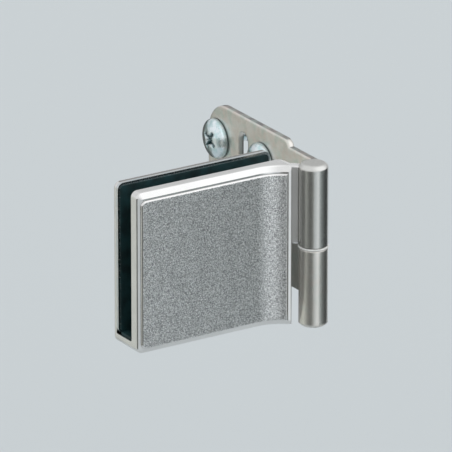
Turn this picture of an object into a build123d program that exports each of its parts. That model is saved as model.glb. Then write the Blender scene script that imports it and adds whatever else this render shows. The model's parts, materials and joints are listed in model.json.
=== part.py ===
from build123d import *
import math
import os

# Glass door hinge: a cast clamp turns on a pin in a cast wing, which is held
# by four mounting screws. Millimetres. X runs along the clamp when the hinge
# is closed, Y from its front to its back, Z up.
# The model is drawn from the hinge pin (X = Y = 0, Z = 0 at the knuckles'
# split) and moved at the end, so that its origin is the centre of the four
# mounting screws on the wing's fixing face.

os.makedirs("parts", exist_ok=True)

# Knuckles, pin and bush
knuckle_radius = 3.5
upper_knuckle_height = 20.65
lower_knuckle_height = 19.6
knuckle_top_round = 1.3
knuckle_bottom_chamfer = 0.5
split_edge_break = 0.2
flange_thickness = 0.4
flange_edge_round = 0.1
flange_proud = 0.2
axial_play = 0.02
pin_radius = 2.0
pin_running_clearance = 0.05
pin_recess = 0.4
pin_engagement = 15.8
pin_end_chamfer = 0.4
bush_wall = 0.5
bore_end_room = 0.4

# Door leaf: front plate
leaf_reach = 45.4
leaf_height = 40.2
leaf_lift = -0.1
plate_setback = 5.45
plate_thickness = 3.2
slope_inner_corner_radius = 0.15
sweep_start = 12.15
sweep_radius = 10.65
knuckle_gap = 1.1
end_thickness = 2.45
end_face_angle = 59.0
end_taper = 0.65
end_corner_radius = 1.6
border_slope_width = 1.45
border_slope_drop = 0.58
end_slope_width = 0.8
border_outer_round = 0.5
end_outer_round = 0.3
plate_back_round = 0.35

# Door leaf: raised field on the front plate
field_side_margin = 0.9
field_top_margin = 1.85
field_bottom_margin = 1.3
field_end_margin = 0.9
field_raise = 0.5
field_corner_radius = 1.3
field_edge_round = 0.42
field_root_depth = 1.1

# Door leaf: neck to the upper knuckle
neck_recess = 0.5
neck_front_angle = 158.0
neck_rear_angle = 118.0
neck_split_gap = 0.2
neck_top_round = 0.4
neck_bottom_chamfer = 0.7

# Door leaf: ledge, rear wall and bosses
glass_thickness = 5.0
pad_thickness = 0.3
clamp_plate_thickness = 0.8
rear_wall_thickness = 1.2
rear_wall_end = 3.1
ledge_thickness = 2.4
ledge_liner_thickness = 0.6
slot_corner_round = 0.4
rear_edge_round = 0.5
boss_radius = 4.0
boss_height = 2.3
boss_taper = 4.0
boss_foot_round = 0.6
boss_spacing = 20.0
pad_inset = 0.6
liner_end_gap = 1.2

# Clamping screws
clamp_screw_radius = 2.5
thread_clearance = 0.02
clamp_screw_recess = 0.35
clamp_screw_point_chamfer = 0.5
socket_across_flats = 2.5
socket_depth = 1.7

# Frame wing
wing_thickness = 1.5
wing_offset = 5.4
wing_front = 19.05
wing_rear = 55.4
wing_height = 38.3
wing_rear_corner_radius = 8.0
wing_front_corner_radius = 2.5
wing_edge_round = 0.45
neck_front = 4.4
neck_height = 35.2
neck_front_corner_radius = 1.2
web_outer_angle = 18.0
web_inner_angle = 75.0
web_rear = 8.2
web_top_drop = 0.8
web_root_depth = 0.8

# Screw pattern and adjustment slots in the wing
screw_pitch_y = 20.0
screw_pitch_z = 20.2
screw_edge_distance = 4.2
screw_hole_radius = 2.3
adjust_slot_width = 4.35
adjust_slot_length = 10.0
adjust_slot_pitch = 20.4
adjust_slot_offset = 1.7

# Mounting screws: pan heads with a cross recess
screw_shank_radius = 2.0
screw_neck_radius = 1.7
screw_reach = 10.0
screw_point_length = 3.6
screw_point_radius = 0.35
head_radius = 5.0
head_height = 2.45
head_dome_radius = 11.0
head_shoulder_round = 1.15
head_underside_chamfer = 0.15
recess_arm_length = 5.0
recess_arm_width = 1.15
recess_depth = 1.7
recess_taper = 9.0
recess_core_width = 2.1
screw_turns = {"upper_rear": 12.0, "upper_front": 55.0, "lower_rear": 71.0, "lower_front": 28.0}

# Levels and faces that follow from the sizes above
split_half = flange_thickness / 2
upper_knuckle_bottom = split_half
leaf_corner_radius = border_slope_width + slope_inner_corner_radius
lower_knuckle_top = -split_half - axial_play
knuckle_bottom = lower_knuckle_top - lower_knuckle_height
pin_bottom = knuckle_bottom + pin_recess
pin_top = split_half + pin_engagement
bush_bore_radius = pin_radius + pin_running_clearance
bush_outer_radius = bush_bore_radius + bush_wall
bush_top = pin_top + bore_end_room
bush_seat_top = bush_top + bore_end_room

leaf_top = leaf_lift + leaf_height / 2
leaf_bottom = leaf_lift - leaf_height / 2
plate_front = plate_setback
plate_back = plate_setback + plate_thickness
glass_front = plate_back + pad_thickness
glass_back = glass_front + glass_thickness
clamp_front = glass_back + pad_thickness
wall_front = clamp_front + clamp_plate_thickness
wall_back = wall_front + rear_wall_thickness
ledge_top = leaf_bottom + ledge_thickness
glass_bottom = ledge_top + ledge_liner_thickness
boss_back = wall_back + boss_height

plate_end = knuckle_radius + knuckle_gap
sweep_centre_y = plate_front - sweep_radius
sweep_angle = math.degrees(math.asin((sweep_start - plate_end) / sweep_radius))

wing_face = wing_offset
fixing_face = wing_offset + wing_thickness
screw_rear_y = wing_rear - screw_edge_distance
screw_middle_y = screw_rear_y - screw_pitch_y / 2

# Room that a cut runs past the face it meets, and the rounding allowed where an
# edge is picked by its place
past = 1.0
near = 0.01


def sweep_point(radius, angle):
    """A point of the plate's forward sweep, on a circle of the given radius."""
    turn = math.radians(angle)
    return (-sweep_start + radius * math.sin(turn), sweep_centre_y + radius * math.cos(turn))


def knuckle_point(radius, angle):
    """A point at a polar position about the pin."""
    turn = math.radians(angle)
    return (radius * math.cos(turn), radius * math.sin(turn))


def end_face_points():
    """Front and rear corners of the front plate's end beside the knuckle."""
    front = sweep_point(sweep_radius, sweep_angle)
    turn = math.radians(end_face_angle)
    rear = (front[0] + end_thickness * math.cos(turn), front[1] + end_thickness * math.sin(turn))
    return front, rear


def upright(face, bottom, top):
    """Extrude a plan-view face from one level to another."""
    return Pos(0, 0, bottom) * extrude(face, top - bottom, dir=(0, 0, 1))


def block(low, high):
    """A box between two corners."""
    size = [high[i] - low[i] for i in range(3)]
    centre = [(high[i] + low[i]) / 2 for i in range(3)]
    return Pos(*centre) * Box(*size)


def door_outline(left, right, bottom, top, front, back, radius):
    """A slab along the clamp with two rounded corners at its free side."""
    slab = block((left, front, bottom), (right, back, top))
    corners = slab.edges().filter_by(Axis.Y).group_by(Axis.X)[0]
    return fillet(corners, radius)


def on_swept_surface(edge, front_y, radius):
    """True where a whole edge lies on a front surface that sweeps forward."""
    for share in (0.0, 0.5, 1.0):
        point = edge.position_at(share)
        if point.X <= -sweep_start:
            off = abs(point.Y - front_y)
        else:
            across = math.hypot(point.X + sweep_start, point.Y - sweep_centre_y)
            off = abs(across - radius)
        if off > near:
            return False
    return True


def outline_edges(solid, front_y, radius):
    """The edges around a swept front surface, without the line where it starts to curve."""
    edges = [e for e in solid.edges() if on_swept_surface(e, front_y, radius)]
    return [e for e in edges if abs(e.center().X + sweep_start) > near or e.bounding_box().size.X > near]


def plate_section():
    """Plan view of the front plate: flat, then swept forward to meet the knuckle."""
    front_end, rear_end = end_face_points()
    middle = sweep_point(sweep_radius, sweep_angle / 2)
    rear_corner = (rear_end[0] - end_taper, plate_back)
    outline = [
        Line((-leaf_reach, plate_front), (-sweep_start, plate_front)),
        ThreePointArc((-sweep_start, plate_front), middle, front_end),
        Line(front_end, rear_end),
        Line(rear_end, rear_corner),
        Line(rear_corner, (-leaf_reach, plate_back)),
        Line((-leaf_reach, plate_back), (-leaf_reach, plate_front)),
    ]
    section = make_face(outline)
    corner = section.vertices().sort_by_distance((rear_corner[0], rear_corner[1], 0))[0]
    return fillet(corner, end_corner_radius)


def front_plate():
    """The front plate; its border slopes away from the field on every side."""
    plate = upright(plate_section(), leaf_bottom, leaf_top)
    plate &= door_outline(
        -leaf_reach, past, leaf_bottom, leaf_top, -knuckle_radius, wall_back, leaf_corner_radius
    )
    plate = fillet(back_outline(plate), plate_back_round)
    flat_front = plate.faces().filter_by(Axis.Y).sort_by(Axis.Y)[0]
    free_edge = flat_front.edges().filter_by(Axis.Z).sort_by(Axis.X)[0]
    plate = chamfer(free_edge, border_slope_width, border_slope_drop, reference=flat_front)
    swept_front = swept_face(plate)
    end_edge = swept_front.edges().filter_by(Axis.Z).sort_by(Axis.X)[-1]
    end_drop = border_slope_drop * end_slope_width / border_slope_width
    plate = chamfer(end_edge, end_slope_width, end_drop, reference=swept_front)
    front_end = end_face_points()[0]
    turn = math.radians(end_face_angle)
    end_foot = (front_end[0] + end_drop * math.cos(turn), front_end[1] + end_drop * math.sin(turn), 0)
    plate = fillet(plate.edges().filter_by(Axis.Z).sort_by_distance(end_foot)[0], end_outer_round)
    foot_y = plate_front + border_slope_drop
    return fillet(outline_edges(plate, foot_y, sweep_radius + border_slope_drop), border_outer_round)


def back_outline(plate):
    """The edges at the back of the front plate along its top, free side and bottom."""
    edges = [e for e in plate.edges() if e.bounding_box().size.Y < near]
    return [e for e in edges if abs(e.center().Y - plate_back) < near and e.center().X < -plate_end - past]


def swept_face(plate):
    """The front face of the sweep."""
    curved = plate.faces().filter_by(GeomType.CYLINDER)
    return [f for f in curved if abs(f.radius - sweep_radius) < near][0]


def raised_field():
    """The raised field on the front plate, parallel to the front in the sweep too."""
    inner_radius = sweep_radius - field_raise
    end_angle = sweep_angle - math.degrees(field_end_margin / sweep_radius)
    field_front = plate_front - field_raise
    root = field_root_depth
    left = -leaf_reach + field_side_margin
    outline = [
        Line((left, field_front), (-sweep_start, field_front)),
        ThreePointArc(
            (-sweep_start, field_front),
            sweep_point(inner_radius, end_angle / 2),
            sweep_point(inner_radius, end_angle),
        ),
        Line(sweep_point(inner_radius, end_angle), sweep_point(sweep_radius + root, end_angle)),
        ThreePointArc(
            sweep_point(sweep_radius + root, end_angle),
            sweep_point(sweep_radius + root, end_angle / 2),
            (-sweep_start, plate_front + root),
        ),
        Line((-sweep_start, plate_front + root), (left, plate_front + root)),
        Line((left, plate_front + root), (left, field_front)),
    ]
    bottom = leaf_bottom + field_bottom_margin
    top = leaf_top - field_top_margin
    field = upright(make_face(outline), bottom, top)
    field &= door_outline(left, past, bottom, top, -knuckle_radius, wall_back, field_corner_radius)
    return fillet(outline_edges(field, field_front, inner_radius), field_edge_round)


def leaf_neck():
    """The neck from the front plate's end to the upper knuckle."""
    front_end, rear_end = end_face_points()
    share = neck_recess / end_thickness
    start = (
        front_end[0] + share * (rear_end[0] - front_end[0]),
        front_end[1] + share * (rear_end[1] - front_end[1]),
    )
    inside = (start[0] - neck_recess, start[1] + neck_recess)
    root = knuckle_radius * web_root_depth
    front_root = knuckle_point(root, neck_front_angle)
    rear_root = knuckle_point(root, neck_rear_angle)
    section = make_face(Polyline(inside, start, front_root, rear_root, rear_end, close=True))
    neck = upright(section, neck_split_gap, leaf_top)
    middle = ((start[0] + front_root[0]) / 2, (start[1] + front_root[1]) / 2)
    top_edge = neck.edges().sort_by_distance((middle[0], middle[1], leaf_top))[0]
    neck = fillet(top_edge, neck_top_round)
    bottom_edge = neck.edges().sort_by_distance((middle[0], middle[1], neck_split_gap))[0]
    return chamfer(bottom_edge, neck_bottom_chamfer)


def upper_knuckle():
    """The door's knuckle, closed at its top."""
    knuckle = Pos(0, 0, upper_knuckle_bottom) * Cylinder(
        knuckle_radius, upper_knuckle_height, align=(Align.CENTER, Align.CENTER, Align.MIN)
    )
    rims = knuckle.edges().filter_by(GeomType.CIRCLE).sort_by(Axis.Z)
    knuckle = fillet(rims[-1], knuckle_top_round)
    return chamfer(knuckle.edges().filter_by(GeomType.CIRCLE).sort_by(Axis.Z)[0], split_edge_break)


def boss_levels():
    """Heights of the two clamping screws."""
    middle = (glass_bottom + leaf_top) / 2
    return [middle + boss_spacing / 2, middle - boss_spacing / 2]


def boss_place(level, depth):
    """A place on a clamping screw's axis, facing the rear."""
    middle_x = -(leaf_reach + rear_wall_end) / 2
    return Plane(origin=(middle_x, depth, level), x_dir=(1, 0, 0), z_dir=(0, 1, 0))


def rear_wall():
    """The rear wall with its two tapped bosses."""
    wall = door_outline(
        -leaf_reach, -rear_wall_end, leaf_bottom, leaf_top, wall_front, wall_back, leaf_corner_radius
    )
    far_corner = wall.edges().filter_by(Axis.Y).group_by(Axis.X)[-1].sort_by(Axis.Z)[-1]
    wall = fillet(far_corner, leaf_corner_radius)
    for level in boss_levels():
        foot = boss_place(level, wall_back) * Circle(boss_radius)
        boss = extrude(foot, boss_height, taper=boss_taper)
        wall += boss
        wall = fillet(boss_foot_edges(wall, level), boss_foot_round)
    return wall


def boss_foot_edges(wall, level):
    """The circle where a boss meets the rear wall."""
    circles = wall.edges().filter_by(GeomType.CIRCLE)
    return [
        e for e in circles
        if abs(e.center().Z - level) < near and abs(e.center().Y - wall_back) < near
        and abs(e.radius - boss_radius) < near
    ]


def ledge():
    """The ledge at the bottom of the slot, which joins the front plate to the rear wall."""
    corner = (-leaf_reach, plate_back - plate_thickness / 2, leaf_bottom)
    shelf = block(corner, (-rear_wall_end, wall_back, ledge_top))
    mask = door_outline(
        -leaf_reach, past, leaf_bottom, leaf_top, plate_front, wall_back, leaf_corner_radius
    )
    shelf = shelf & mask
    front_end, rear_end = end_face_points()
    trim = block(
        (rear_end[0] - end_taper, plate_front - past, leaf_bottom - past),
        (past, plate_back, ledge_top + past),
    )
    return shelf - trim


def door_leaf():
    """One casting: front plate, ledge, rear wall, neck and upper knuckle."""
    leaf = front_plate() + raised_field()
    leaf += ledge()
    leaf += rear_wall()
    leaf += leaf_neck()
    leaf += upper_knuckle()
    slot_edges = [
        e for e in leaf.edges().filter_by(Axis.X)
        if abs(e.center().Z - ledge_top) < near and abs(e.center().Y - plate_back) < near
    ]
    leaf = fillet(slot_edges, slot_corner_round)
    rear_edges = [
        e for e in leaf.edges()
        if e.bounding_box().size.Y < near and abs(e.center().Y - wall_back) < near
        and not (e.geom_type == GeomType.CIRCLE and e.radius > leaf_corner_radius + near)
    ]
    leaf = fillet(rear_edges, rear_edge_round)
    leaf -= upright(Circle(bush_outer_radius), upper_knuckle_bottom - past, bush_seat_top)
    for level in boss_levels():
        tapped = boss_place(level, wall_front - past) * Circle(clamp_screw_radius)
        leaf -= extrude(tapped, boss_back - wall_front + 2 * past)
    return leaf.solid()


def pin_bush():
    """A plastic bush in the upper knuckle; its flange parts the two knuckles."""
    sleeve = upright(Circle(bush_outer_radius), -split_half, bush_top)
    flange = upright(Circle(knuckle_radius + flange_proud), -split_half, split_half)
    flange = fillet(flange.edges().filter_by(GeomType.CIRCLE), flange_edge_round)
    bore = upright(Circle(bush_bore_radius), -split_half - past, bush_top + past)
    return (sleeve + flange - bore).solid()


def hinge_pin():
    """The pin, pressed into the lower knuckle and turning in the bush."""
    pin = upright(Circle(pin_radius), pin_bottom, pin_top)
    return chamfer(pin.edges().filter_by(GeomType.CIRCLE), pin_end_chamfer).solid()


def front_liner():
    """The thin liner on the back of the front plate."""
    front_end, rear_end = end_face_points()
    right = rear_end[0] - end_taper - end_corner_radius - liner_end_gap
    return door_outline(
        -leaf_reach + pad_inset, right, glass_bottom, leaf_top - pad_inset,
        plate_back, glass_front, leaf_corner_radius - pad_inset
    ).solid()


def ledge_liner():
    """The strip on the ledge, between the front liner and the clamp pad."""
    left = -leaf_reach + pad_inset
    right = -rear_wall_end - pad_inset
    low = (left, plate_back + slot_corner_round, ledge_top)
    return block(low, (right, glass_back, glass_bottom)).solid()


def clamp_plate():
    """The steel plate that the clamping screws press forward."""
    plate = door_outline(
        -leaf_reach, -rear_wall_end, ledge_top, leaf_top, clamp_front, wall_front, leaf_corner_radius
    )
    far_corner = plate.edges().filter_by(Axis.Y).group_by(Axis.X)[-1].sort_by(Axis.Z)[-1]
    return fillet(far_corner, leaf_corner_radius).solid()


def clamp_pad():
    """The soft pad on the clamp plate."""
    pad = door_outline(
        -leaf_reach + pad_inset, -rear_wall_end - pad_inset, glass_bottom, leaf_top - pad_inset,
        glass_back, clamp_front, leaf_corner_radius - pad_inset
    )
    far_corner = pad.edges().filter_by(Axis.Y).group_by(Axis.X)[-1].sort_by(Axis.Z)[-1]
    return fillet(far_corner, leaf_corner_radius - pad_inset).solid()


def clamp_screw(level):
    """A grub screw with a hexagon socket; its point meets the clamp plate."""
    length = boss_back - clamp_screw_recess - wall_front
    body = extrude(boss_place(level, wall_front) * Circle(clamp_screw_radius - thread_clearance), length)
    point = body.edges().filter_by(GeomType.CIRCLE).sort_by(Axis.Y)[0]
    body = chamfer(point, clamp_screw_point_chamfer)
    rear = boss_place(level, wall_front + length)
    socket = RegularPolygon(socket_across_flats / 2, 6, major_radius=False)
    body -= extrude(rear * socket, -socket_depth)
    return body.solid()


def lower_knuckle():
    """The wing's knuckle, bored right through for the pin."""
    knuckle = upright(Circle(knuckle_radius), knuckle_bottom, lower_knuckle_top)
    rims = knuckle.edges().filter_by(GeomType.CIRCLE).sort_by(Axis.Z)
    knuckle = chamfer(rims[-1], split_edge_break)
    return chamfer(knuckle.edges().filter_by(GeomType.CIRCLE).sort_by(Axis.Z)[0], knuckle_bottom_chamfer)


def wing_web():
    """The web from the lower knuckle's rear to the front of the wing's neck."""
    root = knuckle_radius * web_root_depth
    points = [
        knuckle_point(root, web_outer_angle),
        (fixing_face, neck_front),
        (fixing_face, web_rear),
        (wing_face, web_rear),
        knuckle_point(root, web_inner_angle),
    ]
    section = make_face(Polyline(*points, close=True))
    return upright(section, -neck_height / 2, lower_knuckle_top - web_top_drop)


def wing_slab(front, rear, height):
    """A slab of the wing's thickness, centred on the split."""
    return block((wing_face, front, -height / 2), (fixing_face, rear, height / 2))


def wing_plate():
    """The rounded wing and its narrower neck."""
    wing = wing_slab(wing_front, wing_rear, wing_height)
    uprights = wing.edges().filter_by(Axis.X)
    wing = fillet(uprights.group_by(Axis.Y)[-1], wing_rear_corner_radius)
    wing = fillet(wing.edges().filter_by(Axis.X).group_by(Axis.Y)[0], wing_front_corner_radius)
    neck = wing_slab(neck_front, wing_front + wing_front_corner_radius, neck_height)
    neck = fillet(neck.edges().filter_by(Axis.X).group_by(Axis.Y)[0], neck_front_corner_radius)
    plate = wing + neck
    inner_face = plate.faces().filter_by(Axis.X).sort_by(Axis.X)[0]
    return fillet(inner_face.outer_wire().edges(), wing_edge_round)


def screw_centres():
    """Positions of the four mounting screws on the wing."""
    rows = [screw_pitch_z / 2, -screw_pitch_z / 2]
    columns = [screw_rear_y, screw_rear_y - screw_pitch_y]
    return [(y, z) for z in rows for y in columns]


def frame_wing():
    """One casting: lower knuckle, web, neck and wing."""
    body = wing_plate() + wing_web() + lower_knuckle()
    body -= upright(Circle(pin_radius), knuckle_bottom - past, lower_knuckle_top + past)
    for y, z in screw_centres():
        hole = Plane(origin=(wing_face - past, y, z), z_dir=(1, 0, 0)) * Circle(screw_hole_radius)
        body -= extrude(hole, wing_thickness + 2 * past)
    slot_y = screw_middle_y - adjust_slot_offset
    for z in (adjust_slot_pitch / 2, -adjust_slot_pitch / 2):
        place = Plane(origin=(wing_face - past, slot_y, z), x_dir=(0, 0, 1), z_dir=(1, 0, 0))
        slot = place * SlotOverall(adjust_slot_length, adjust_slot_width)
        body -= extrude(slot, wing_thickness + 2 * past)
    return body.solid()


def cross_recess():
    """The tool for a cross recess, drawn down from the top of a screw head."""
    arms = Rectangle(recess_arm_length, recess_arm_width) + Rectangle(recess_arm_width, recess_arm_length)
    core = Rectangle(recess_core_width, recess_core_width)
    tool = extrude(arms, recess_depth, taper=recess_taper)
    tool += extrude(core, recess_depth, taper=recess_taper)
    return tool


def dome_height(radius):
    """Height of the head's domed top at a distance from its axis."""
    return head_height - head_dome_radius + math.sqrt(head_dome_radius ** 2 - radius ** 2)


def mounting_screw():
    """A pan-head screw drawn from under its head: the head above Z = 0, the shank below.

    A plain neck passes through the wing, and the full shank starts at its fixing face.
    """
    shank = wing_thickness + screw_reach
    rim = head_radius - head_underside_chamfer
    dome_middle = (head_radius / 2, dome_height(head_radius / 2))
    dome_edge = (head_radius, dome_height(head_radius))
    outline = [
        Line((0, head_height), (0, -shank)),
        Line((0, -shank), (screw_point_radius, -shank)),
        Line((screw_point_radius, -shank), (screw_shank_radius, screw_point_length - shank)),
        Line((screw_shank_radius, screw_point_length - shank), (screw_shank_radius, -wing_thickness)),
        Line((screw_shank_radius, -wing_thickness), (screw_neck_radius, -wing_thickness)),
        Line((screw_neck_radius, -wing_thickness), (screw_neck_radius, 0)),
        Line((screw_neck_radius, 0), (rim, 0)),
        Line((rim, 0), (head_radius, head_underside_chamfer)),
        Line((head_radius, head_underside_chamfer), dome_edge),
        ThreePointArc(dome_edge, dome_middle, (0, head_height)),
    ]
    screw = revolve(Plane.XZ * make_face(outline), Axis.Z, 360)
    circles = screw.edges().filter_by(GeomType.CIRCLE)
    shoulder = [e for e in circles if abs(e.center().Z - dome_edge[1]) < near]
    screw = fillet(shoulder, head_shoulder_round)
    recess = Pos(0, 0, head_height) * Rot(180, 0, 45) * cross_recess()
    return (screw - recess).solid()


def seated_screw(y, z, turn):
    """A mounting screw with its head on the wing."""
    place = Plane(origin=(wing_face, y, z), x_dir=(0, 1, 0), z_dir=(-1, 0, 0))
    return Location(place) * Rot(0, 0, turn) * mounting_screw()


def export(shape, name):
    """Move a piece from the pin's frame to the screw pattern's, and write it."""
    placed = Pos(-fixing_face, -screw_middle_y, 0) * shape
    export_step(placed, "parts/" + name + ".step")


export(door_leaf(), "door_leaf")
export(pin_bush(), "pin_bush")
export(hinge_pin(), "hinge_pin")
export(front_liner(), "front_liner")
export(ledge_liner(), "ledge_liner")
export(clamp_plate(), "clamp_plate")
export(clamp_pad(), "clamp_pad")
for place_name, screw_level in zip(("upper", "lower"), boss_levels()):
    export(clamp_screw(screw_level), "clamp_screw_" + place_name)
export(frame_wing(), "frame_wing")
for place_name, centre in zip(screw_turns, screw_centres()):
    screw = seated_screw(centre[0], centre[1], screw_turns[place_name])
    export(screw, "mounting_screw_" + place_name)
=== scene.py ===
import bpy
import json
import math
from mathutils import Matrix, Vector


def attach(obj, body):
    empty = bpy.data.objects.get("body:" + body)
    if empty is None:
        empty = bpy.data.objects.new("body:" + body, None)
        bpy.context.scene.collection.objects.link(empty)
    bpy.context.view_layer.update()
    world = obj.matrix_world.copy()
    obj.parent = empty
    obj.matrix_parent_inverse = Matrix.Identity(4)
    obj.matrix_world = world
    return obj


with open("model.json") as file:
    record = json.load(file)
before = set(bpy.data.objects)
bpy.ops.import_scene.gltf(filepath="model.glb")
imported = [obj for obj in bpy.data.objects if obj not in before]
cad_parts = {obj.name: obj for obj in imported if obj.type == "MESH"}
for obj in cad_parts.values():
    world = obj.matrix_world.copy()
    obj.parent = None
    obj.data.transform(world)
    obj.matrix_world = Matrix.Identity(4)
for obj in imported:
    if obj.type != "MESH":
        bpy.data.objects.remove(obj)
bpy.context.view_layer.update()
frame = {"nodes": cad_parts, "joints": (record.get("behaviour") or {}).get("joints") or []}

# The pin's place in the scene, in metres, and the size of a millimetre there
PIVOT = Vector(frame["joints"][0]["pos_m"])
MM = 0.001

# Places on the leaf, in millimetres from the pin
PLATE_FRONT = 5.45
PLATE_END = -4.6
SWEEP_START = -12.15
SWEEP_RADIUS = 10.65
FIELD_RAISE = 0.5
GRAIN_START = 0.93 * FIELD_RAISE
GRAIN_FULL = 0.99 * FIELD_RAISE
KNUCKLE_REACH = 3.7
KNUCKLE_CAP_LEVEL = 20.5
REAR_WALL_FRONT = 14.2

# Places on the wing, in millimetres from the pin
FIXING_FACE = 6.9
FIXING_FACE_MARGIN = 0.3
WING_NECK_START = 8.5
# Where the painted shade low on the wing's neck is full and where it has faded out
NECK_SHADE_FULL_Y = 17.0
NECK_SHADE_END_Y = 29.0
NECK_SHADE_FULL_Z = -7.0
NECK_SHADE_END_Z = 2.0

# Mounting screws and their threads, in millimetres
SCREW_MIDDLE_Y = 41.2
SCREW_HALF_PITCH_Y = 10.0
SCREW_HALF_PITCH_Z = 10.1
SHANK_RADIUS = 2.0
SCREW_REACH = 10.0
POINT_LENGTH = 3.6
POINT_RADIUS = 0.35
THREAD_PITCH = 1.7
THREAD_RIDGE = 0.28
THREAD_SINK = 0.06
THREAD_FOOT = 0.45
THREAD_START = 0.4
THREAD_END_ROOM = 0.6
THREAD_STEPS = 20

# Colours of the finishes and of painted shade, as red, green and blue
LEAF_PLATING = (0.84, 0.83, 0.82)
WING_PLATING = (0.80, 0.77, 0.73)
PIN_STEEL = (0.60, 0.60, 0.60)
CLAMP_STEEL = (0.68, 0.69, 0.69)
COOL_TINT = (0.86, 0.93, 0.97)
KNUCKLE_TONE = (0.64, 0.635, 0.61)
BEIGE_STAIN = (0.68, 0.57, 0.50)
GREEN_STAIN = (0.50, 0.62, 0.56)
# Colours of painted shade: low on the wing's neck, in gaps, along the field's border steps and in the screw
# recesses
NECK_SHADE = (0.05, 0.055, 0.055)
GAP_SHADE = (0.015, 0.03, 0.03)
BORDER_GROOVE_SHADE = (0.03, 0.03, 0.03)
RECESS_SHADE = (0.022, 0.08, 0.082)

# Pairs of colours that a noise mixes
# Darker tones for the leaf's faces that look up
LEAF_TOP_TONES = ((0.28, 0.27, 0.26), (0.38, 0.37, 0.35))
# Painted shade for the wing's faces that look up
WING_TOP_SHADE_TONES = ((0.19, 0.185, 0.185), (0.26, 0.255, 0.255))
FIELD_TONES = ((0.26, 0.26, 0.265), (1.0, 0.995, 0.99))
ZINC_TONES = ((0.58, 0.74, 0.76), (0.80, 0.86, 0.89))
RUBBER_TONES = ((0.004, 0.019, 0.021), (0.0096, 0.0456, 0.0504))
NYLON_TONES = ((0.80, 0.80, 0.77), (0.90, 0.90, 0.87))
BLACK_STEEL_TONES = ((0.035, 0.036, 0.04), (0.075, 0.075, 0.08))

# Middle of a noise, and how far from it a change is full
NOISE_MIDDLE = 0.5
NOISE_SPREAD = 0.2

# Values of their noise at which the stains start and are full
BEIGE_RANGE = (0.36, 0.68)
GREEN_RANGE = (0.42, 0.68)

# How strongly the finishes and the painted shade change from place to place, as shares of 1
CLOUD_SHADE = 0.93
FIELD_ROUGHENING = 0.08
KNUCKLE_ROUGHENING = 0.07
KNUCKLE_SHARE = 0.8
KNUCKLE_CLEANNESS = 0.6
NECK_DULLING = 0.38
STAIN_SHARE = 0.42
NECK_SHADE_SHARE = 0.85

# Upward part of a face's normal, where the face starts to count as level and where it does fully
UPWARD_START = 0.90
UPWARD_FULL = 0.985

# Depths and radii of the finishes' relief, in metres
CASTING_WAVE_DEPTH = 0.00003
CASTING_SKIN_DEPTH = 0.0000012
FIELD_GRAIN_DEPTH = 0.00007
HEAD_WAVE_DEPTH = 0.00008
HEAD_SKIN_DEPTH = 0.000006
STEEL_SKIN_DEPTH = 0.000004
RUBBER_SKIN_DEPTH = 0.00001
NYLON_SKIN_DEPTH = 0.000005
BLACK_STEEL_SKIN_DEPTH = 0.000006
WING_EDGE_RADIUS = 0.0008
HEAD_EDGE_RADIUS = 0.0012

# Fall of a screw head's dome, in millimetres at one millimetre from its axis
HEAD_DOME = 0.045

# Camera, fitted to the photograph's edges, in degrees and metres, with its sensor in millimetres
FRONT_AZIMUTH = 270.0
CAMERA_AZIMUTH = -33.03
CAMERA_ELEVATION = 20.9
CAMERA_DISTANCE = 1.682
PIVOT_PIXEL = (313.5, 244.8)
IMAGE_SIZE = 452
PIXELS_PER_MM = 4.229
SENSOR_WIDTH = 36.0
VIEW_END = 50.0

# Floor, in metres, and its colour
FLOOR_LEVEL = -0.30
FLOOR_HALF_WIDTH = 6.0
FLOOR_COLOUR = (0.60, 0.635, 0.65)

# Sky, with compass angles and elevations in degrees
SKY = (0.97, 0.99, 1.0)
SKY_STRENGTH = 0.93
BACK_AZIMUTH = 57.0
BACK_SHADE = 0.72
GLOW_AZIMUTH = 310.0
GLOW_ELEVATION = 38.0
GLOW_STRENGTH = 1.3

# Cosines of the angle at the edge of a part of the sky, and of the angle within which it is full
BACK_SPREAD = (0.1, 0.7)
GLOW_SPREAD = (0.55, 0.9)

# Sines of the elevations between which the dim back of the sky fades out
BACK_TOP = (0.45, 0.75)

# Front lamp, in degrees and metres, and how bright its face looks
LAMP_AZIMUTH = 272.0
LAMP_ELEVATION = -21.0
LAMP_DISTANCE = 0.5
LAMP_WIDTH = 0.17
LAMP_HEIGHT = 0.2
LAMP_RADIANCE = 0.3

# Two curved studio cards, in metres, with their shades by compass angle
CARD_RADIUS = 0.22
CARD_BOTTOM = -0.16
CARD_TOP = 0.02
CARD_STEPS = 24
LEFT_TINT = (1.0, 1.0, 0.93)
LEFT_SHADES = (
    (58, 0.12), (80, 0.20), (105, 0.56), (128, 0.85), (145, 0.95),
    (168, 0.85), (186, 0.40), (208, 0.15), (224, 0.16), (240, 0.50),
)
RIGHT_TINT = (0.9, 1.0, 1.0)
RIGHT_SHADES = ((286, 0.66), (300, 0.44), (316, 0.19), (338, 0.06), (372, 0.06))


def screw_places():
    """Each mounting screw's name with its place along Y and Z, in millimetres from the pin."""
    places = {}
    for row, level in (("upper", SCREW_HALF_PITCH_Z), ("lower", -SCREW_HALF_PITCH_Z)):
        for column, shift in (("rear", SCREW_HALF_PITCH_Y), ("front", -SCREW_HALF_PITCH_Y)):
            places[row + "_" + column] = (SCREW_MIDDLE_Y + shift, level)
    return places


def at(x, y, z):
    """A place given in millimetres from the pin, as scene coordinates."""
    return PIVOT + Vector((x, y, z)) * MM


def heading(azimuth, elevation=0.0):
    """Unit vector towards a compass angle (0 is +X, 90 is +Y) and a height angle."""
    turn = math.radians(azimuth)
    rise = math.radians(elevation)
    return Vector((math.cos(turn) * math.cos(rise), math.sin(turn) * math.cos(rise), math.sin(rise)))


def shaded(colour, shade):
    """A colour with its brightness changed."""
    return tuple(c * shade for c in colour)


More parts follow.
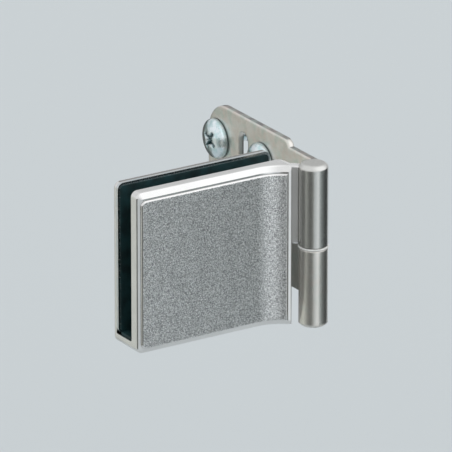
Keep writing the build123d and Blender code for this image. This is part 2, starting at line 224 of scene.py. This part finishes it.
class Nodes:
    """A short way to write a material's or the world's nodes."""

    def __init__(self, tree):
        self.tree = tree
        self.tree.nodes.clear()

    def add(self, kind, inputs=None, **settings):
        node = self.tree.nodes.new(kind)
        for key, value in settings.items():
            setattr(node, key, value)
        for key, value in (inputs or {}).items():
            self.put(node.inputs[key], value)
        return node

    def put(self, socket, value):
        """Link another node's output to a socket, or set the value on the socket itself."""
        if isinstance(value, bpy.types.NodeSocket):
            self.tree.links.new(value, socket)
        elif socket.type == "RGBA":
            socket.default_value = value + (1.0,)
        else:
            socket.default_value = value

    def math(self, operation, a, b=0.0):
        return self.add("ShaderNodeMath", {0: a, 1: b}, operation=operation).outputs[0]

    def product(self, a, b):
        return self.math("MULTIPLY", a, b)

    def rest(self, share):
        """What is left of 1."""
        return self.math("SUBTRACT", 1.0, share)

    def square_sum(self, a, b):
        return self.math("ADD", self.product(a, a), self.product(b, b))

    def subtract(self, a, b):
        return self.add("ShaderNodeVectorMath", {0: a, 1: b}, operation="SUBTRACT").outputs[0]

    def scaled(self, a, factor):
        return self.add("ShaderNodeVectorMath", {0: a, 3: factor}, operation="SCALE").outputs[0]

    def dot(self, a, b):
        return self.add("ShaderNodeVectorMath", {0: a, 1: b}, operation="DOT_PRODUCT").outputs["Value"]

    def split(self, vector):
        """The three numbers of a vector."""
        return list(self.add("ShaderNodeSeparateXYZ", {0: vector}).outputs)

    def ramp(self, value, low, high, to_low=0.0, to_high=1.0, smooth=True):
        """A value between low and high, turned into one between to_low and to_high."""
        kind = "SMOOTHSTEP" if smooth else "LINEAR"
        inputs = {"Value": value, "From Min": low, "From Max": high, "To Min": to_low, "To Max": to_high}
        return self.add("ShaderNodeMapRange", inputs, interpolation_type=kind).outputs[0]

    def noise(self, place, scale, detail=3.0, roughness=0.6, distortion=0.0):
        """Cloudy noise around 0.5, finer with a larger scale."""
        inputs = {"Vector": place, "Scale": scale, "Detail": detail, "Roughness": roughness,
                  "Distortion": distortion}
        return self.add("ShaderNodeTexNoise", inputs).outputs[0]

    def blend(self, share, a, b):
        node = self.add("ShaderNodeMix", data_type="RGBA")
        self.put(node.inputs[0], share)
        self.put(node.inputs[6], a)
        self.put(node.inputs[7], b)
        return node.outputs[2]

    def overlay(self, base, colour, mask, share):
        """The base with a share of a colour laid over it where the mask is 1."""
        return self.blend(self.product(mask, share), base, colour)

    def mottle(self, noise, tones, spread=NOISE_SPREAD):
        """Two colours mixed by a noise, within a spread about its middle."""
        return self.blend(self.ramp(noise, NOISE_MIDDLE - spread, NOISE_MIDDLE + spread), *tones)

    def vary(self, noise, least, most):
        """A number that follows the middle of a noise from least to most."""
        low, high = NOISE_MIDDLE - NOISE_SPREAD, NOISE_MIDDLE + NOISE_SPREAD
        return self.ramp(noise, low, high, least, most, smooth=False)

    def crevice_shade(self, reach=0.004, deep=0.1, clear=0.75, least=0.25):
        """Painted shade: low in narrow gaps and beside steps, where shade falls, 1 elsewhere."""
        shelter = self.add("ShaderNodeAmbientOcclusion", {"Distance": reach}, samples=8)
        return self.ramp(shelter.outputs["AO"], deep, clear, least, 1.0)

    def worn_edges(self, radius):
        """The surface's normal, with edges that look rounded."""
        return self.add("ShaderNodeBevel", {"Radius": radius}, samples=8).outputs[0]

    def bump(self, height, depth, normal=None):
        """The normal of a relief, over another normal where one is given."""
        inputs = {"Height": height, "Distance": depth, "Strength": 1.0}
        if normal is not None:
            inputs["Normal"] = normal
        return self.add("ShaderNodeBump", inputs).outputs[0]


def new_material(name):
    material = bpy.data.materials.new(name)
    material.use_nodes = True
    return material, Nodes(material.node_tree)


def finish_surface(nodes, **sockets):
    """The one shader and output of a material, with its sockets by name."""
    inputs = {key.replace("_", " "): value for key, value in sockets.items()}
    shader = nodes.add("ShaderNodeBsdfPrincipled", inputs)
    nodes.add("ShaderNodeOutputMaterial", {"Surface": shader.outputs[0]})


def pin_place(nodes):
    """The surface point in millimetres from the pin, in the piece's own rest place."""
    own = nodes.add("ShaderNodeTexCoord").outputs["Object"]
    return nodes.scaled(nodes.subtract(own, tuple(PIVOT)), 1.0 / MM)


def field_mask(nodes, place):
    """1 on the raised field of the front plate, 0 elsewhere."""
    x, y = nodes.split(place)[:2]
    across = nodes.math("SUBTRACT", x, SWEEP_START)
    behind = nodes.math("SUBTRACT", y, PLATE_FRONT - SWEEP_RADIUS)
    from_centre = nodes.math("SQRT", nodes.square_sum(across, behind))
    in_sweep = nodes.math("GREATER_THAN", across, 0.0)
    swept = nodes.product(nodes.math("SUBTRACT", SWEEP_RADIUS, from_centre), in_sweep)
    flat = nodes.product(nodes.math("SUBTRACT", PLATE_FRONT, y), nodes.rest(in_sweep))
    raised = nodes.ramp(nodes.math("ADD", swept, flat), GRAIN_START, GRAIN_FULL)
    return nodes.product(raised, nodes.math("LESS_THAN", x, PLATE_END))


def knuckle_mask(nodes, place):
    """1 close around the pin, where the knuckles are, 0 elsewhere."""
    x, y = nodes.split(place)[:2]
    return nodes.math("LESS_THAN", nodes.square_sum(x, y), KNUCKLE_REACH ** 2)


def neck_shade_mask(nodes, place):
    """Where shade is painted: 1 low on the inner side of the wing's neck, fading out upwards and to the
    rear.
    """
    x, y, z = nodes.split(place)
    near_pin = nodes.ramp(y, NECK_SHADE_FULL_Y, NECK_SHADE_END_Y, 1.0, 0.0)
    low = nodes.ramp(z, NECK_SHADE_FULL_Z, NECK_SHADE_END_Z, 1.0, 0.0)
    inner = nodes.math("LESS_THAN", x, FIXING_FACE - FIXING_FACE_MARGIN)
    on_wing = nodes.math("GREATER_THAN", y, WING_NECK_START)
    return nodes.product(nodes.product(near_pin, low), nodes.product(inner, on_wing))


def screw_distance(nodes, place):
    """Squared distance from the nearest mounting screw's axis, in square millimetres."""
    y, z = nodes.split(place)[1:]
    from_middle = nodes.math("ABSOLUTE", nodes.math("SUBTRACT", y, SCREW_MIDDLE_Y))
    along = nodes.math("SUBTRACT", from_middle, SCREW_HALF_PITCH_Y)
    up = nodes.math("SUBTRACT", nodes.math("ABSOLUTE", z), SCREW_HALF_PITCH_Z)
    return nodes.square_sum(along, up)


def upward(nodes):
    """1 on faces that look straight up, 0 on all others."""
    normal = nodes.add("ShaderNodeNewGeometry").outputs["True Normal"]
    return nodes.ramp(nodes.split(normal)[2], UPWARD_START, UPWARD_FULL)


def satin_metal(nodes, place, colour, roughness):
    """Colour and roughness of a satin plating, with the fine noise that its relief shares."""
    cloud = nodes.noise(place, 0.09, roughness=0.55)
    fine = nodes.noise(place, 9.0, detail=2.0)
    base = nodes.mottle(cloud, (shaded(colour, CLOUD_SHADE), colour))
    rough = nodes.vary(fine, roughness * 0.88, roughness * 1.14)
    return base, rough, fine


def satin_relief(nodes, place, fine, normal=None):
    """The slight waviness and the fine skin of a satin plated casting."""
    wave = nodes.noise(place, 0.22, detail=2.0, roughness=0.5)
    return nodes.bump(fine, CASTING_SKIN_DEPTH, nodes.bump(wave, CASTING_WAVE_DEPTH, normal))


def leaf_nickel():
    """Satin nickel with a grained field, plainer knuckles, darker upward faces at the top, and painted
    shade in gaps and along the field's border.
    """
    material, nodes = new_material("satin_nickel")
    place = pin_place(nodes)
    base, rough, fine = satin_metal(nodes, place, LEAF_PLATING, roughness=0.2)
    normal = satin_relief(nodes, place, fine)
    x, y, z = nodes.split(place)

    # Faces that look up on the rear wall and on the knuckle cap are darker
    behind = nodes.math("GREATER_THAN", y, REAR_WALL_FRONT)
    on_cap = nodes.math("GREATER_THAN", z, KNUCKLE_CAP_LEVEL)
    darker_tops = nodes.product(upward(nodes), nodes.math("MAXIMUM", behind, on_cap))
    base = nodes.blend(darker_tops, base, nodes.mottle(fine, LEAF_TOP_TONES, spread=0.15))

    mask = field_mask(nodes, place)
    grain = nodes.noise(place, 4.5, distortion=0.2)
    base = nodes.blend(mask, base, nodes.mottle(grain, FIELD_TONES, spread=0.12))
    rough = nodes.math("ADD", rough, nodes.product(mask, FIELD_ROUGHENING))
    normal = nodes.bump(nodes.product(grain, mask), FIELD_GRAIN_DEPTH, normal)

    knuckle = knuckle_mask(nodes, place)
    base = nodes.overlay(base, KNUCKLE_TONE, knuckle, KNUCKLE_SHARE)
    rough = nodes.math("ADD", rough, nodes.product(knuckle, KNUCKLE_ROUGHENING))
    neck = nodes.math("SUBTRACT", nodes.math("GREATER_THAN", x, PLATE_END), knuckle)
    metal = nodes.rest(nodes.product(neck, NECK_DULLING))

    # Painted shade, darker in the gaps around the knuckle and the neck
    base = nodes.blend(nodes.crevice_shade(least=0.45), GAP_SHADE, base)
    # Painted shade in a thin dark line along the steps of the field's border
    base = nodes.blend(nodes.crevice_shade(reach=0.0007, deep=0.45, clear=0.9, least=0.45), BORDER_GROOVE_SHADE, base)
    finish_surface(nodes, Base_Color=base, Metallic=metal, Roughness=rough, Normal=normal)
    return material


def wing_nickel():
    """Satin nickel with worn edges and beige and greenish stains, with painted shade on its upward faces,
    low on the inner side of its neck and in gaps.
    """
    material, nodes = new_material("wing_nickel")
    place = pin_place(nodes)
    base, rough, fine = satin_metal(nodes, place, WING_PLATING, roughness=0.3)
    normal = satin_relief(nodes, place, fine, nodes.worn_edges(WING_EDGE_RADIUS))
    # Painted shade: the wing's faces that look up are darker
    base = nodes.blend(upward(nodes), base, nodes.mottle(fine, WING_TOP_SHADE_TONES, spread=0.15))

    flat = nodes.rest(nodes.product(knuckle_mask(nodes, place), KNUCKLE_CLEANNESS))
    beige = nodes.ramp(nodes.noise(place, 0.4, detail=2.0), *BEIGE_RANGE)
    base = nodes.overlay(base, BEIGE_STAIN, nodes.product(beige, flat), STAIN_SHARE)
    green = nodes.ramp(nodes.noise(place, 0.34, detail=2.0, distortion=0.4), *GREEN_RANGE)
    base = nodes.overlay(base, GREEN_STAIN, nodes.product(green, flat), STAIN_SHARE)
    # Painted shade, darkest low on the inner side of the neck
    base = nodes.overlay(base, NECK_SHADE, neck_shade_mask(nodes, place), NECK_SHADE_SHARE)

    # Painted shade, darker in the gaps between the wing and the pieces beside it
    base = nodes.blend(nodes.crevice_shade(), GAP_SHADE, base)
    finish_surface(nodes, Base_Color=base, Metallic=1.0, Roughness=rough, Normal=normal)
    return material


def blue_zinc():
    """Bright zinc with a bluish passivation, for domed heads, with painted shade in the cross recess and
    where the head meets the wing.
    """
    material, nodes = new_material("blue_zinc")
    place = pin_place(nodes)
    cloud = nodes.noise(place, 0.55)
    fine = nodes.noise(place, 5.0)
    base = nodes.mottle(cloud, ZINC_TONES, spread=0.12)
    rough = nodes.vary(fine, 0.12, 0.26)
    # Painted shade in the cross recess and at the head's foot: dark teal there, and less metallic so the
    # dark colour shows
    recess_shade = nodes.crevice_shade(reach=0.0013, deep=0.3, clear=0.9, least=0.03)
    base = nodes.blend(recess_shade, RECESS_SHADE, base)
    dome = nodes.product(screw_distance(nodes, place), -HEAD_DOME)
    normal = nodes.bump(dome, MM, nodes.worn_edges(HEAD_EDGE_RADIUS))
    normal = nodes.bump(cloud, HEAD_WAVE_DEPTH, normal)
    normal = nodes.bump(fine, HEAD_SKIN_DEPTH, normal)
    finish_surface(nodes, Base_Color=base, Metallic=recess_shade, Roughness=rough, Normal=normal)
    return material


def plated_steel(name, colour, roughness):
    """Turned or pressed steel with a thin, slightly uneven plating."""
    material, nodes = new_material(name)
    place = pin_place(nodes)
    fine = nodes.noise(place, 6.0)
    cool = tuple(c * t for c, t in zip(colour, COOL_TINT))
    base = nodes.mottle(nodes.noise(place, 0.45), (cool, colour), spread=0.15)
    rough = nodes.vary(fine, roughness * 0.8, roughness * 1.25)
    normal = nodes.bump(fine, STEEL_SKIN_DEPTH)
    finish_surface(nodes, Base_Color=base, Metallic=1.0, Roughness=rough, Normal=normal)
    return material


def soft_black():
    """Matt black rubber or foam with a fine skin."""
    material, nodes = new_material("black_pad")
    place = pin_place(nodes)
    skin = nodes.noise(place, 5.0)
    cloud = nodes.noise(place, 0.3, detail=2.0, roughness=0.5)
    base = nodes.mottle(cloud, RUBBER_TONES)
    rough = nodes.vary(skin, 0.5, 0.68)
    finish_surface(nodes, Base_Color=base, Roughness=rough, Normal=nodes.bump(skin, RUBBER_SKIN_DEPTH))
    return material


def white_nylon():
    """Pale moulded nylon."""
    material, nodes = new_material("white_nylon")
    skin = nodes.noise(pin_place(nodes), 3.0, detail=2.0, roughness=0.5)
    base = nodes.mottle(skin, NYLON_TONES)
    rough = nodes.vary(skin, 0.32, 0.42)
    finish_surface(nodes, Base_Color=base, Roughness=rough, Normal=nodes.bump(skin, NYLON_SKIN_DEPTH))
    return material


def black_steel():
    """Blackened steel, lightly oiled."""
    material, nodes = new_material("black_steel")
    cloud = nodes.noise(pin_place(nodes), 1.2)
    base = nodes.mottle(cloud, BLACK_STEEL_TONES)
    rough = nodes.vary(cloud, 0.3, 0.45)
    normal = nodes.bump(cloud, BLACK_STEEL_SKIN_DEPTH)
    finish_surface(nodes, Base_Color=base, Metallic=0.6, Roughness=rough, Normal=normal)
    return material


def floor_material():
    material, nodes = new_material("pale_floor")
    finish_surface(nodes, Base_Color=FLOOR_COLOUR, Roughness=0.9)
    return material


def card_material(name, shades, tint):
    """Card paint whose shade follows the compass angle about the pin."""
    material, nodes = new_material(name)
    x, y = nodes.split(pin_place(nodes))[:2]
    degrees = nodes.product(nodes.math("ARCTAN2", y, x), 180.0 / math.pi)
    start, end = shades[0][0], shades[-1][0]
    past_start = nodes.math("FLOORED_MODULO", nodes.math("SUBTRACT", degrees, start), 360.0)
    place = nodes.ramp(nodes.math("ADD", start, past_start), start, end, smooth=False)
    ramp = nodes.add("ShaderNodeValToRGB", {0: place})
    stops = ramp.color_ramp.elements
    while len(stops) < len(shades):
        stops.new(0.5)
    for stop, (azimuth, shade) in zip(stops, shades):
        stop.position = (azimuth - start) / (end - start)
        stop.color = shaded(tint, shade) + (1.0,)
    finish_surface(nodes, Base_Color=ramp.outputs[0], Roughness=1.0)
    return material


def dress_nodes(screw_finish):
    """Give every modelled piece its material."""
    rubber = soft_black()
    grub = black_steel()
    finishes = {
        "door_leaf": leaf_nickel(),
        "frame_wing": wing_nickel(),
        "hinge_pin": plated_steel("ground_steel", PIN_STEEL, roughness=0.18),
        "pin_bush": white_nylon(),
        "clamp_plate": plated_steel("clamp_sheet", CLAMP_STEEL, roughness=0.24),
        "clamp_pad": rubber,
        "front_liner": rubber,
        "ledge_liner": rubber,
        "clamp_screw_upper": grub,
        "clamp_screw_lower": grub,
    }
    for name in screw_places():
        finishes["mounting_screw_" + name] = screw_finish
    for name, material in finishes.items():
        materials = frame["nodes"][name].data.materials
        materials.clear()
        materials.append(material)


def make_camera():
    """The photograph's view: nearly parallel, from the front left and above."""
    data = bpy.data.cameras.new("camera")
    camera = bpy.data.objects.new("camera", data)
    bpy.context.scene.collection.objects.link(camera)
    toward = heading(FRONT_AZIMUTH + CAMERA_AZIMUTH, CAMERA_ELEVATION)
    right = Vector((-toward.y, toward.x, 0.0)).normalized()
    up = toward.cross(right)
    middle = IMAGE_SIZE / 2
    aim = PIVOT + right * ((middle - PIVOT_PIXEL[0]) / PIXELS_PER_MM * MM)
    aim += up * ((PIVOT_PIXEL[1] - middle) / PIXELS_PER_MM * MM)
    camera.location = PIVOT + toward * CAMERA_DISTANCE
    camera.rotation_euler = (aim - camera.location).to_track_quat("-Z", "Y").to_euler()
    data.sensor_width = SENSOR_WIDTH
    data.lens = SENSOR_WIDTH * PIXELS_PER_MM * CAMERA_DISTANCE / MM / IMAGE_SIZE
    data.clip_end = VIEW_END
    bpy.context.scene.camera = camera


def add_mesh(name, points, faces, material):
    mesh = bpy.data.meshes.new(name)
    mesh.from_pydata([tuple(p) for p in points], [], faces)
    mesh.update()
    mesh.materials.append(material)
    piece = bpy.data.objects.new(name, mesh)
    bpy.context.scene.collection.objects.link(piece)
    return piece


def make_floor():
    half = FLOOR_HALF_WIDTH
    corners = [(x, y, FLOOR_LEVEL) for x, y in ((-half, -half), (half, -half), (half, half), (-half, half))]
    add_mesh("floor", corners, [(0, 1, 2, 3)], floor_material())


def make_card(name, shades, tint):
    """A curved studio card around the hinge, between its first and last compass angles."""
    start, end = shades[0][0], shades[-1][0]
    points = []
    for i in range(CARD_STEPS + 1):
        direction = heading(start + (end - start) * i / CARD_STEPS)
        for level in (CARD_BOTTOM, CARD_TOP):
            points.append(PIVOT + direction * CARD_RADIUS + Vector((0, 0, level)))
    faces = [(2 * i, 2 * i + 2, 2 * i + 3, 2 * i + 1) for i in range(CARD_STEPS)]
    card = add_mesh(name, points, faces, card_material(name + "_paint", shades, tint))
    card.visible_camera = False


def add_front_lamp():
    """A soft lamp that faces the hinge from the front, set by how bright its face looks."""
    data = bpy.data.lights.new("front_softbox", "AREA")
    data.shape = "RECTANGLE"
    data.size = LAMP_WIDTH
    data.size_y = LAMP_HEIGHT
    data.energy = LAMP_RADIANCE * math.pi * LAMP_WIDTH * LAMP_HEIGHT
    lamp = bpy.data.objects.new("front_softbox", data)
    bpy.context.scene.collection.objects.link(lamp)
    direction = heading(LAMP_AZIMUTH, LAMP_ELEVATION)
    lamp.location = PIVOT + direction * LAMP_DISTANCE
    lamp.rotation_euler = (-direction).to_track_quat("-Z", "Y").to_euler()
    lamp.visible_camera = False


def make_sky():
    """A soft white sky, brighter in front and darker low down at the back."""
    world = bpy.data.worlds.new("studio")
    world.use_nodes = True
    bpy.context.scene.world = world
    nodes = Nodes(world.node_tree)
    direction = nodes.add("ShaderNodeTexCoord").outputs["Generated"]
    low = nodes.ramp(nodes.split(direction)[2], *BACK_TOP, 1.0, 0.0)
    behind = nodes.ramp(nodes.dot(direction, tuple(heading(BACK_AZIMUTH))), *BACK_SPREAD)
    colour = nodes.blend(nodes.product(low, behind), SKY, shaded(SKY, BACK_SHADE))
    near_glow = nodes.dot(direction, tuple(heading(GLOW_AZIMUTH, GLOW_ELEVATION)))
    strength = nodes.ramp(near_glow, *GLOW_SPREAD, SKY_STRENGTH, GLOW_STRENGTH)
    sky = nodes.add("ShaderNodeBackground", {"Color": colour, "Strength": strength})
    nodes.add("ShaderNodeOutputWorld", {"Surface": sky.outputs[0]})


def add_thread(name, place_y, level, material):
    """A helical ridge on one screw's shank and point."""
    turns = (SCREW_REACH - THREAD_END_ROOM) / THREAD_PITCH
    count = int(turns * THREAD_STEPS)
    profile = ((-THREAD_FOOT / 2, -THREAD_SINK), (0.0, THREAD_RIDGE), (THREAD_FOOT / 2, -THREAD_SINK))
    points = []
    faces = []
    for i in range(count + 1):
        along = THREAD_START + i * THREAD_PITCH / THREAD_STEPS
        turn = 2 * math.pi * i / THREAD_STEPS
        fade = min(1.0, i / THREAD_STEPS, (count - i) / THREAD_STEPS)
        for offset, rise in profile:
            depth = along + offset
            taper = min(1.0, max(0.0, (SCREW_REACH - depth) / POINT_LENGTH))
            radius = POINT_RADIUS + (SHANK_RADIUS - POINT_RADIUS) * taper
            reach = radius + rise * (fade if rise > 0 else 1.0)
            y = place_y + reach * math.cos(turn)
            points.append(at(FIXING_FACE + depth, y, level + reach * math.sin(turn)))
    for i in range(count):
        a = 3 * i
        b = a + 3
        faces += [(a, a + 1, b + 1, b), (a + 1, a + 2, b + 2, b + 1), (a + 2, a, b, b + 2)]
    faces += [(0, 2, 1), (3 * count, 3 * count + 1, 3 * count + 2)]
    thread = add_mesh(name, points, faces, material)
    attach(thread, "frame_side")


bpy.context.scene.view_settings.view_transform = "Standard"
screw_finish = blue_zinc()
dress_nodes(screw_finish)
for screw, (place_y, level) in screw_places().items():
    add_thread("thread_" + screw, place_y, level, screw_finish)
make_camera()
make_floor()
make_sky()
add_front_lamp()
make_card("left_card", LEFT_SHADES, LEFT_TINT)
make_card("right_card", RIGHT_SHADES, RIGHT_TINT)
